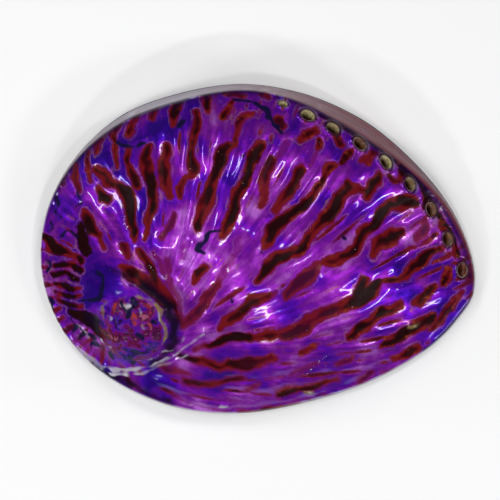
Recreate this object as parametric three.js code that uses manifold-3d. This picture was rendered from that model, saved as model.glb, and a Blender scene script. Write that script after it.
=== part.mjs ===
// An abalone shell, dyed, polished and lacquered: one ear-shaped solid resting on its rim, hollow side down.
// Millimetres. +Z is up from the plane the rim rests on. +X runs along the shell to the growing end, and +Y
// runs towards the side with the row of breathing pores. The origin is the outline's middle, on that plane.
import * as THREE from "three";
import { mergeVertices } from "three/addons/utils/BufferGeometryUtils.js";
import Module from "manifold-3d";

// Driving dimensions
const CROWN_HEIGHT = 35; // top of the dome above the plane of the rim
const CROWN = { x: -10, y: 0 }; // plan position of the top
const WALL = 3; // upright thickness of the shell over the dome
const RIM_WIDTH = 2.4; // width of the flat rim that the shell rests on
const PORE_COUNT = 9;
const PORE_LENGTH = 4.6; // of an open pore, along the row
const PORE_WIDTH = 3.8;
const SPIRE = { x: -38, y: -31 }; // plan position of the middle of the spire
const SPIRE_RISE = 4; // of its knob above the dome
const SPIRE_RADIUS = 11;
const SPIRE_STEEPNESS = 4; // power by which the knob's side falls away
const SPIRE_FADE = 12; // power by which the spire's relief dies away towards the rim

// The rim seen from above, anticlockwise from the growing end
const OUTLINE = [
  [75, -2.5],
  [72.3, 9.2],
  [64.5, 22.5],
  [53.5, 34],
  [38.5, 45],
  [24, 52],
  [6, 56.4],
  [-14, 56.5],
  [-34.5, 50.5],
  [-53.5, 40],
  [-67.5, 23],
  [-74.5, 3],
  [-73, -18],
  [-62.5, -37],
  [-45, -50],
  [-22.5, -56.7],
  [0, -56],
  [22, -49.3],
  [43.5, -39],
  [62, -24.8],
  [71.8, -11.5],
];

// The dome's section in eight directions from the crown, anticlockwise from +X by 45 degrees
const LEVEL_RADIUS = [74, 63, 56, 57, 63, 60, 55, 62]; // of the rounder outline of the levels near the crown
const EDGE_HEIGHT = [4.5, 12, 14.5, 11, 6, 5.5, 5, 4.5]; // where the top would meet the rim if it had no wall
const WALL_SLOPE = [5, 2.4, 4, 3.2, 6, 6, 6, 5]; // rise over run of the wall above the rim
const SHOULDER_BAND = [3, 3, 2, 2, 3, 3, 3, 3]; // how softly the top turns into the wall
const FLATNESS = [2, 2.1, 2, 1.85, 1.75, 1.7, 1.6, 1.8]; // a higher power keeps the top flat for longer
const CROWN_ROUNDING = 0.05; // rounds off the very top, as a squared share of the way to the rim
const LEVEL_CHANGE = 3; // power by which the levels turn from round to ear-shaped

// The line of the pores, from the oldest to the newest
const PORE_LINE = [
  [0.8, 49.3],
  [18.1, 43.7],
  [37.2, 35.3],
  [54.7, 22.1],
  [68.6, 3.6],
];

// The seam leaves the rim behind the spire and winds inwards round it
const SEAM_START = 197; // degrees, the direction from the spire in which it leaves the rim
const SEAM_RADIUS = 15.5; // of its winding
const SEAM_TIGHTENING = 0.1; // share by which the winding closes in with each radian
const SEAM_FLARE = 6; // how much farther out it starts
const SEAM_FLARE_LENGTH = 0.5; // radians over which the flare dies away
const SEAM_DEPTH = 1.2;
const SEAM_INNER_WIDTH = 3.5; // of the slope on the spire's side
const SEAM_OUTER_WIDTH = 4;
const SEAM_FADE = { start: [0.2, 1], end: [0, 1.5] }; // radians over which its ends rise and die away
const SEAM_POCKET = 2.6; // extra depth of the pocket between the spire and the crown
const POCKET_SPREAD = 1.2; // radians either side of the pocket's middle
const POCKET_WIDTH = 5; // how much wider the seam is there

// The flat inner lip inside the rim, between the first pore and the spire
const LIP_WIDTH = 13;
const LIP_SLOPE = 0.25; // its rise towards the middle
const LIP_STEP = 2.5; // rise over run of the step up from it
const LIP_ROUNDING = 1.2; // band over which the step turns into the hollow
const PLAIN_LIP = 1.5; // its width along the open edge
const LIP_RISE = [70, 165]; // degrees from the crown over which it widens
const LIP_FALL = [205, 280]; // and narrows again
const THINNING = 8; // power by which the shell thins out towards the rim

// Fineness of the facets
const RAYS = 90;
const OUTER_RINGS = 23;
const INNER_RINGS = 15;
const LIP_RINGS = 3;
const RIM_SAMPLES = 720;
const PORE_SIDES = 12;

const TURN = 2 * Math.PI;
const radians = THREE.MathUtils.degToRad;
const smoothstep = THREE.MathUtils.smoothstep;
const mix = THREE.MathUtils.lerp;
const bell = (offset, width) => Math.exp(-((offset / width) ** 2));
const wrapped = (angle) => THREE.MathUtils.euclideanModulo(angle, TURN);
const directionTo = (x, y) => Math.atan2(y - CROWN.y, x - CROWN.x);

// The smaller of two heights, with the corner between them rounded over a band.
function roundedMin(a, b, band) {
  const share = THREE.MathUtils.clamp(0.5 + (0.5 * (b - a)) / band, 0, 1);
  return mix(b, a, share) - band * share * (1 - share);
}

// The value in any direction, on a smooth closed curve through one value for each of eight directions.
function inDirection(values, angle) {
  const place = (wrapped(angle) / TURN) * values.length;
  const start = Math.floor(place);
  const t = place - start;
  const [a, b, c, d] = [-1, 0, 1, 2].map((i) => values[(start + i + values.length) % values.length]);
  const bend = 2 * a - 5 * b + 4 * c - d;
  const twist = 3 * (b - c) + d - a;
  return b + 0.5 * t * (c - a + t * (bend + t * twist));
}

// Points of the smooth closed rim as directions and distances from the crown, in order of direction.
function sampleRim() {
  const points = OUTLINE.map(([x, y]) => new THREE.Vector3(x, y, 0));
  const curve = new THREE.CatmullRomCurve3(points, true, "catmullrom", 0.5);
  const samples = [];
  for (let i = 0; i < RIM_SAMPLES; i++) {
    const { x, y } = curve.getPoint(i / RIM_SAMPLES);
    samples.push({ angle: wrapped(directionTo(x, y)), radius: Math.hypot(x - CROWN.x, y - CROWN.y) });
  }
  samples.sort((a, b) => a.angle - b.angle);
  const first = samples[0];
  const last = samples.at(-1);
  samples.unshift({ angle: last.angle - TURN, radius: last.radius });
  samples.push({ angle: first.angle + TURN, radius: first.radius });
  return samples;
}
const rimSamples = sampleRim();

// Distance from the crown to the rim in a direction.
function rimRadius(angle) {
  const direction = wrapped(angle);
  const next = rimSamples.findIndex((sample) => sample.angle > direction);
  const before = rimSamples[next - 1];
  const after = rimSamples[next];
  return mix(before.radius, after.radius, (direction - before.angle) / (after.angle - before.angle));
}

// Distance from the crown at a share of the way to the rim. The levels grow from round to ear-shaped.
function reachAt(angle, share) {
  return share * mix(inDirection(LEVEL_RADIUS, angle), rimRadius(angle), share ** LEVEL_CHANGE);
}

// The part of the drop from the crown to the edge that the top has made.
function dropShare(angle, share) {
  const power = inDirection(FLATNESS, angle) / 2;
  const start = CROWN_ROUNDING ** power;
  return ((share ** 2 + CROWN_ROUNDING) ** power - start) / ((1 + CROWN_ROUNDING) ** power - start);
}

// Height of the plain dome.
function domeHeight(angle, share) {
  const drop = CROWN_HEIGHT - inDirection(EDGE_HEIGHT, angle);
  const top = CROWN_HEIGHT - drop * dropShare(angle, share);
  const wall = inDirection(WALL_SLOPE, angle) * (rimRadius(angle) - reachAt(angle, share));
  return roundedMin(top, wall, inDirection(SHOULDER_BAND, angle));
}

// How far the spire's knob stands above the plain dome, and its seam below it.
function spireRelief(x, y) {
  const distance = Math.hypot(x - SPIRE.x, y - SPIRE.y);
  const direction = Math.atan2(y - SPIRE.y, x - SPIRE.x);
  const wound = wrapped(direction - radians(SEAM_START));
  const flare = SEAM_FLARE * Math.exp(-wound / SEAM_FLARE_LENGTH);
  const seam = SEAM_RADIUS * Math.exp(-SEAM_TIGHTENING * wound) + flare;
  const pocket = bell(wound - Math.PI, POCKET_SPREAD);
  const fade = smoothstep(wound, ...SEAM_FADE.start) * smoothstep(TURN - wound, ...SEAM_FADE.end);
  const width = distance < seam ? SEAM_INNER_WIDTH : SEAM_OUTER_WIDTH + POCKET_WIDTH * pocket;
  const knob = SPIRE_RISE * Math.exp(-((distance / SPIRE_RADIUS) ** SPIRE_STEEPNESS));
  return knob - fade * (SEAM_DEPTH + SEAM_POCKET * pocket) * bell(distance - seam, width);
}

// The outside of the shell. The spire's relief dies away before the rim, which stays level.
function outerPoint(angle, share) {
  const reach = reachAt(angle, share);
  const x = CROWN.x + reach * Math.cos(angle);
  const y = CROWN.y + reach * Math.sin(angle);
  return new THREE.Vector3(x, y, domeHeight(angle, share) + (1 - share ** SPIRE_FADE) * spireRelief(x, y));
}

// Width of the inner lip: broad between the first pore and the spire, narrow along the open edge.
function lipWidth(angle) {
  const along = wrapped(angle);
  const rise = smoothstep(along, ...LIP_RISE.map(radians));
  const fall = 1 - smoothstep(along, ...LIP_FALL.map(radians));
  return PLAIN_LIP + (LIP_WIDTH - PLAIN_LIP) * rise * fall;
}

// The inside of the shell: the lip climbs from the rim, then steps up into the hollow under the dome.
function innerPoint(angle, share) {
  const outside = outerPoint(angle, share);
  const rim = rimRadius(angle);
  const narrowed = (rim - RIM_WIDTH) / rim;
  const fromRim = narrowed * (rim - reachAt(angle, share));
  const hollow = outside.z - WALL * (1 - share ** THINNING);
  const lip = LIP_SLOPE * fromRim + LIP_STEP * Math.max(0, fromRim - lipWidth(angle));
  const x = mix(CROWN.x, outside.x, narrowed);
  const y = mix(CROWN.y, outside.y, narrowed);
  return new THREE.Vector3(x, y, Math.max(0, roundedMin(hollow, lip, LIP_ROUNDING)));
}

// The share of the way to the rim at which the surface is a distance in from the rim.
function shareInside(angle, inset) {
  let share = 1;
  for (let step = 0; step < 12; step++) share *= (rimRadius(angle) - inset) / reachAt(angle, share);
  return share;
}

// Shares for the rings of the outside, closer together near the rim, where the surface turns down.
function outerShare(angle, ring) {
  const even = ring / OUTER_RINGS;
  return mix(even, Math.sin((even * Math.PI) / 2), 0.5);
}

// Shares for the rings of the inside. One ring follows the edge of the lip.
function innerShare(angle, ring) {
  const lipEdge = shareInside(angle, lipWidth(angle));
  const hollowRings = INNER_RINGS - LIP_RINGS;
  if (ring <= hollowRings) return lipEdge * (ring / hollowRings);
  return mix(lipEdge, 1, (ring - hollowRings) / LIP_RINGS);
}

// One sheet of the skin: a middle point, then rings of points out to the rim. Row n of the result is ring n.
function addSheet(positions, pointAt, shareOf, rings) {
  const first = directionTo(...OUTLINE[0]);
  const rows = [];
  for (let ring = 0; ring <= rings; ring++) {
    const row = [];
    for (let ray = 0; ray < (ring === 0 ? 1 : RAYS); ray++) {
      const angle = first + (ray * TURN) / RAYS;
      row.push(positions.length / 3);
      positions.push(...pointAt(angle, shareOf(angle, ring)).toArray());
    }
    rows.push(row);
  }
  return rows;
}

// Triangles between two neighbouring rings, facing up when the first ring is the inner one.
function addBand(triangles, near, far) {
  for (let ray = 0; ray < RAYS; ray++) {
    const next = (ray + 1) % RAYS;
    triangles.push(near[ray % near.length], far[ray], far[next]);
    if (near.length > 1) triangles.push(near[ray], far[next], near[next]);
  }
}

// A closed skin: the outside, the inside and the flat rim that joins them.
function makeSkin() {
  const positions = [];
  const upward = [];
  const downward = [];
  const outer = addSheet(positions, outerPoint, outerShare, OUTER_RINGS);
  const inner = addSheet(positions, innerPoint, innerShare, INNER_RINGS);
  for (let ring = 0; ring < OUTER_RINGS; ring++) addBand(upward, outer[ring], outer[ring + 1]);
  for (let ring = 0; ring < INNER_RINGS; ring++) addBand(downward, inner[ring], inner[ring + 1]);
  addBand(downward, inner[INNER_RINGS], outer[OUTER_RINGS]);
  const skin = new THREE.BufferGeometry();
  skin.setAttribute("position", new THREE.Float32BufferAttribute(positions, 3));
  skin.setIndex(upward.concat(downward.reverse()));
  return skin;
}

// An oval prism through the shell, square to its surface at a point of the pore line.
function porePrism(x, y) {
  const nudge = 0.004;
  const angle = directionTo(x, y);
  const share = shareInside(angle, rimRadius(angle) - Math.hypot(x - CROWN.x, y - CROWN.y));
  const seat = outerPoint(angle, share);
  const outwards = outerPoint(angle, share + nudge).sub(seat).normalize();
  const along = outerPoint(angle + nudge, share).sub(seat).normalize();
  const normal = new THREE.Vector3().crossVectors(outwards, along).normalize();
  const across = new THREE.Vector3().crossVectors(along, normal);
  const prism = new THREE.CylinderGeometry(PORE_WIDTH / 2, PORE_WIDTH / 2, 6 * WALL, PORE_SIDES);
  prism.scale(1, 1, PORE_LENGTH / PORE_WIDTH);
  prism.applyMatrix4(new THREE.Matrix4().makeBasis(across, normal, along.negate()));
  return prism.translate(seat.x, seat.y, seat.z);
}

const wasm = await Module();
wasm.setup();

function solidOf(geometry) {
  const bare = new THREE.BufferGeometry().setAttribute("position", geometry.getAttribute("position"));
  const merged = mergeVertices(bare.setIndex(geometry.index), 1e-4);
  const mesh = new wasm.Mesh({
    numProp: 3,
    vertProperties: merged.getAttribute("position").array,
    triVerts: new Uint32Array(merged.index.array),
  });
  return new wasm.Manifold(mesh);
}

function geometryOf(solid) {
  const mesh = solid.getMesh();
  const geometry = new THREE.BufferGeometry();
  geometry.setAttribute("position", new THREE.BufferAttribute(mesh.vertProperties, 3));
  geometry.setIndex(new THREE.BufferAttribute(mesh.triVerts, 1));
  geometry.computeVertexNormals();
  return geometry;
}

// The skin, pierced by the pores at even steps of the pore line.
function makeShell() {
  const line = new THREE.CatmullRomCurve3(PORE_LINE.map(([x, y]) => new THREE.Vector3(x, y, 0)));
  let solid = solidOf(makeSkin());
  for (let i = 0; i < PORE_COUNT; i++) {
    const { x, y } = line.getPoint(i / (PORE_COUNT - 1));
    solid = solid.subtract(solidOf(porePrism(x, y)));
  }
  const dyedNacre = new THREE.MeshStandardMaterial({ color: 0x5a1a9a, roughness: 0.15, metalness: 0.3 });
  const shell = new THREE.Mesh(geometryOf(solid), dyedNacre);
  shell.name = "abalone_shell";
  return shell;
}

const part = new THREE.Group();
part.add(makeShell());

export default part;
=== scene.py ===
import math
from functools import partialmethod

import bpy
import numpy as np
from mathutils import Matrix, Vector
from mathutils.geometry import delaunay_2d_cdt


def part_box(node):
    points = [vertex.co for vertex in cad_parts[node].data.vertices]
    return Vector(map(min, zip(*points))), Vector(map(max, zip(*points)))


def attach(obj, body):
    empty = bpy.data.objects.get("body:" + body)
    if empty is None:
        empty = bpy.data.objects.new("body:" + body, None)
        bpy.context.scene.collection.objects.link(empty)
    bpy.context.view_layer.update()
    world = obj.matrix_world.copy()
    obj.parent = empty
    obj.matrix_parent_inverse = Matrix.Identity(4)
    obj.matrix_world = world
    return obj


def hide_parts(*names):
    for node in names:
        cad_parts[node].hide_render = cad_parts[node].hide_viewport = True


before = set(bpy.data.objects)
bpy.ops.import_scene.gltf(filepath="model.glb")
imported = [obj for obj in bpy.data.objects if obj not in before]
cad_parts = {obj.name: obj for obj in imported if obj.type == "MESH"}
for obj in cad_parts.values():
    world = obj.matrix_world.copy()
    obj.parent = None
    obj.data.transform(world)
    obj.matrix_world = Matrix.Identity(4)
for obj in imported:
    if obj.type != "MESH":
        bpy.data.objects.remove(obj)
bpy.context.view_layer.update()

LOW, HIGH = (np.array(corner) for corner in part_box("abalone_shell"))
TURN = 2 * math.pi
FAR = 99.0

# ---- Forms, in millimetres

CROWN_HEIGHT = 35
CROWN = (-10, 0)
WALL = 3
THINNING = 8  # power by which it thins out towards the rim
RIM_WIDTH = 2.4

OUTLINE = [
    (75, -2.5), (72.3, 9.2), (64.5, 22.5), (53.5, 34), (38.5, 45), (24, 52), (6, 56.4),
    (-14, 56.5), (-34.5, 50.5), (-53.5, 40), (-67.5, 23), (-74.5, 3), (-73, -18), (-62.5, -37),
    (-45, -50), (-22.5, -56.7), (0, -56), (22, -49.3), (43.5, -39), (62, -24.8), (71.8, -11.5),
]

# The dome's section in eight directions from the crown, anticlockwise from +X by 45 degrees
LEVEL_RADIUS = (74, 63, 56, 57, 63, 60, 55, 62)
EDGE_HEIGHT = (4.5, 12, 14.5, 11, 6, 5.5, 5, 4.5)
WALL_SLOPE = (5, 2.4, 4, 3.2, 6, 6, 6, 5)
SHOULDER_BAND = (3, 3, 2, 2, 3, 3, 3, 3)
FLATNESS = (2, 2.1, 2, 1.85, 1.75, 1.7, 1.6, 1.8)
CROWN_ROUNDING = 0.05
LEVEL_CHANGE = 3  # power by which the levels turn from round to ear-shaped
SHARE_ROUNDS = 14  # of guessing a point's share of the way to the rim

SPIRE = (-38, -31)
SPIRE_RISE = 4
SPIRE_RADIUS = 11
SPIRE_STEEPNESS = 4  # power by which the knob's side falls away
SPIRE_FADE = 12  # and by which its relief dies away towards the rim
SPIRE_CORE = 3  # growth lines are followed no nearer to its middle than this

PORE_LINE = [(0.8, 49.3), (18.1, 43.7), (37.2, 35.3), (54.7, 22.1), (68.6, 3.6)]
PORE_COUNT = 9
PORE_LENGTH = 4.6
PORE_WIDTH = 3.8
FIRST_PORE_SIZE = 0.6
PORE_BROWNING = (0.3, 0, 0.5, 0.9, 0.1, 0.6, 0.9, 0.9, 1)  # from a khaki wall to a brown one
# In half axes of a pore: the loops of points round it, the gap beyond them, and its raised edge
COLLARS = (1, 1.12, 1.3, 1.55)
COLLAR_GAP = 0.12
PORE_EDGE = 1.3
PORE_EDGE_SPREAD = 0.35
PORE_EDGE_RISE = 0.35
PORE_CLEARING = (1, 1.8)  # the fine relief rises between these

SEAM_START = math.radians(197)
SEAM_RADIUS = 15.5
SEAM_TIGHTENING = 0.1
SEAM_FLARE = 6
SEAM_FLARE_LENGTH = 0.5
SEAM_DEPTH = 1.2
SEAM_INNER_WIDTH = 3.5
SEAM_OUTER_WIDTH = 4
SEAM_RISE = (0.2, 1)  # radians over which its start rises
SEAM_END = 1.5  # and its end dies away
SEAM_POCKET = 2.6
POCKET_SPREAD = 1.2
POCKET_WIDTH = 5

LIP_WIDTH = 13
LIP_SLOPE = 0.25
LIP_STEP = 2.5
LIP_ROUNDING = 1.2
PLAIN_LIP = 1.5
LIP_RISE = (70, 165)  # degrees from the crown over which it widens
LIP_FALL = (205, 280)  # and narrows again

# Heights of the fine relief, which begins to die away at a share of the way to the rim
RELIEF_BASE = -0.8
RELIEF_END = 0.95
CREST_RISE = 0.14
CREST_LIMITS = (-1.5, 4)
RIPPLE_RISE = 0.08
FIBRE_RISE = 0.02
LUMP_RISE = 0.24
RIDGES = (("pale", 0.4, 1.2), ("khaki", 0.5, 0.7))  # height, and width over which it dies away

# Degrees that growth lines turn anticlockwise from straight out of the spire, in eight directions
GROWTH_TURN = (14, 14, 16, 26, 36, 34, 40, 34)
# How much slower the markings change along the growth lines than across them
GROWTH_STRETCH = 0.08

# Towards the open lip the dye's edges grow soft: fully soft at the first y, crisp at the second
SOFT_DYE = (-42, -16)

# The side with a wall of its own colour, partly painted reflection: its middle, and the degrees to each side
# over which it ends
PORE_SIDE = math.radians(88)
PORE_SIDE_END = (105, 75)
# How far in past the wall's top that colour goes, in eight directions, and the band where it ends
WALL_OVERLAP = (1, 1.7, 0.4, 0, 0, 0, 0, 0)
WALL_END = (0.5, -0.2)
# Painted shade: the darker band along the wall's top, which fades from the second distance to the first
BROW_SHADE = (3.8, 0.6)
# Where that wall has lost its gloss, and where a pale reflection is painted on it
FADED_SIDE = math.radians(42)
FADED_SPREAD = 0.9
FADED_SHARE = 0.9
PALE_REFLECTION_SIDE = math.radians(125)
PALE_REFLECTION_SPREAD = 0.7

RAYS = 600
OUTER_RINGS = 130
INNER_RINGS = 24
PORE_SIDES = 40


def smoothstep(x, low, high):
    t = np.clip((x - low) / (high - low), 0, 1)
    return t * t * (3 - 2 * t)


def mix(a, b, share):
    return a + (b - a) * share


def bell(offset, width):
    return np.exp(-((offset / width) ** 2))


def rounded_min(a, b, band):
    share = np.clip(0.5 + 0.5 * (b - a) / band, 0, 1)
    return mix(b, a, share) - band * share * (1 - share)


def curve_between(a, b, c, d, t):
    """A point at t between b and c on the smooth curve through a, b, c and d."""
    return b + 0.5 * t * (c - a + t * (2 * a - 5 * b + 4 * c - d + t * (3 * (b - c) + d - a)))


def in_direction(values, angle):
    """The value in any direction, on a smooth closed curve through one value for each of eight directions."""
    values = np.array(values, float)
    place = np.mod(angle, TURN) / TURN * len(values)
    start = np.floor(place).astype(int)
    neighbours = (values[(start + i) % len(values)] for i in (-1, 0, 1, 2))
    return curve_between(*neighbours, place - start)


def smooth_curve(points, closed, steps):
    """Points on a smooth curve through the given ones, steps for each gap."""
    p = np.array(points, float)
    p = np.vstack([p[-1], p, p[:2]] if closed else [2 * p[0] - p[1], p, 2 * p[-1] - p[-2]])
    t = (np.arange(steps) / steps)[:, None]
    out = [curve_between(*p[i:i + 4], t) for i in range(len(p) - 3)]
    return np.vstack(out if closed else out + [p[-2]])


def make_rim():
    x, y = (smooth_curve(OUTLINE, True, 40) - CROWN).T
    angle = np.mod(np.arctan2(y, x), TURN)
    order = np.argsort(angle)
    return angle[order], np.hypot(x, y)[order]


RIM_ANGLE, RIM_REACH = make_rim()


def rim_radius(angle):
    return np.interp(np.mod(angle, TURN), RIM_ANGLE, RIM_REACH, period=TURN)


def reach_at(angle, share):
    """Distance from the crown at a share of the way to the rim."""
    return share * mix(in_direction(LEVEL_RADIUS, angle), rim_radius(angle), share**LEVEL_CHANGE)


def share_at(angle, reach):
    share = reach / rim_radius(angle)
    for _ in range(SHARE_ROUNDS):
        share = share * reach / np.maximum(reach_at(angle, share), 1e-9)
    return share


def drop_share(angle, share):
    """Share of the drop from the crown to the edge. It rises evenly, and the crown is rounded off."""
    power = in_direction(FLATNESS, angle) / 2
    start = CROWN_ROUNDING**power
    return ((share**2 + CROWN_ROUNDING) ** power - start) / ((1 + CROWN_ROUNDING) ** power - start)


def dome_height(angle, share):
    drop = CROWN_HEIGHT - in_direction(EDGE_HEIGHT, angle)
    top = CROWN_HEIGHT - drop * drop_share(angle, share)
    wall = in_direction(WALL_SLOPE, angle) * (rim_radius(angle) - reach_at(angle, share))
    return rounded_min(top, wall, in_direction(SHOULDER_BAND, angle))


def around_spire(x, y):
    """Distance and direction from the spire."""
    return np.hypot(x - SPIRE[0], y - SPIRE[1]), np.arctan2(y - SPIRE[1], x - SPIRE[0])


def spire_relief(x, y):
    distance, direction = around_spire(x, y)
    wound = np.mod(direction - SEAM_START, TURN)
    flare = SEAM_FLARE * np.exp(-wound / SEAM_FLARE_LENGTH)
    seam = SEAM_RADIUS * np.exp(-SEAM_TIGHTENING * wound) + flare
    pocket = bell(wound - math.pi, POCKET_SPREAD)
    fade = smoothstep(wound, *SEAM_RISE) * (1 - smoothstep(wound, TURN - SEAM_END, TURN))
    width = np.where(distance < seam, SEAM_INNER_WIDTH, SEAM_OUTER_WIDTH + POCKET_WIDTH * pocket)
    knob = SPIRE_RISE * np.exp(-((distance / SPIRE_RADIUS) ** SPIRE_STEEPNESS))
    return knob - fade * (SEAM_DEPTH + SEAM_POCKET * pocket) * bell(distance - seam, width)


def crown_direction(x, y):
    return np.arctan2(y - CROWN[1], x - CROWN[0])


def polar(x, y):
    """Direction from the crown, and share of the way to the rim."""
    angle = crown_direction(x, y)
    return angle, share_at(angle, np.hypot(x - CROWN[0], y - CROWN[1]))


def outer_height(x, y):
    angle, share = polar(x, y)
    return dome_height(angle, share) + (1 - share**SPIRE_FADE) * spire_relief(x, y)


def lip_width(angle):
    along = np.mod(angle, TURN)
    rise = smoothstep(along, *np.radians(LIP_RISE))
    fall = 1 - smoothstep(along, *np.radians(LIP_FALL))
    return PLAIN_LIP + (LIP_WIDTH - PLAIN_LIP) * rise * fall


def inner_height(x, y):
    """Height of the inside at a point that is given on the outside's plan, before the inside is narrowed."""
    angle, share = polar(x, y)
    rim = rim_radius(angle)
    from_rim = (rim - RIM_WIDTH) / rim * (rim - reach_at(angle, share))
    hollow = outer_height(x, y) - WALL * (1 - share**THINNING)
    lip = LIP_SLOPE * from_rim + LIP_STEP * np.maximum(0, from_rim - lip_width(angle))
    return np.maximum(0, rounded_min(hollow, lip, LIP_ROUNDING))


def edge_distance(x, y):
    """Distance in plan from the rim, along the way to the crown."""
    angle, share = polar(x, y)
    return rim_radius(angle) - reach_at(angle, share)


def above_wall_color(x, y):
    """Distance in plan from the edge of the colour of the steep wall above the rim, less than 0 inside it."""
    angle = crown_direction(x, y)
    wall_top = in_direction(EDGE_HEIGHT, angle) / in_direction(WALL_SLOPE, angle)
    return edge_distance(x, y) - wall_top - in_direction(WALL_OVERLAP, angle)


def narrowed(x, y):
    """Moves a point of the outside's plan in to the inside's plan."""
    rim = rim_radius(crown_direction(x, y))
    share = (rim - RIM_WIDTH) / rim
    return mix(CROWN[0], x, share), mix(CROWN[1], y, share)


# ---- Markings, drawn over the plan in millimetres

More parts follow.
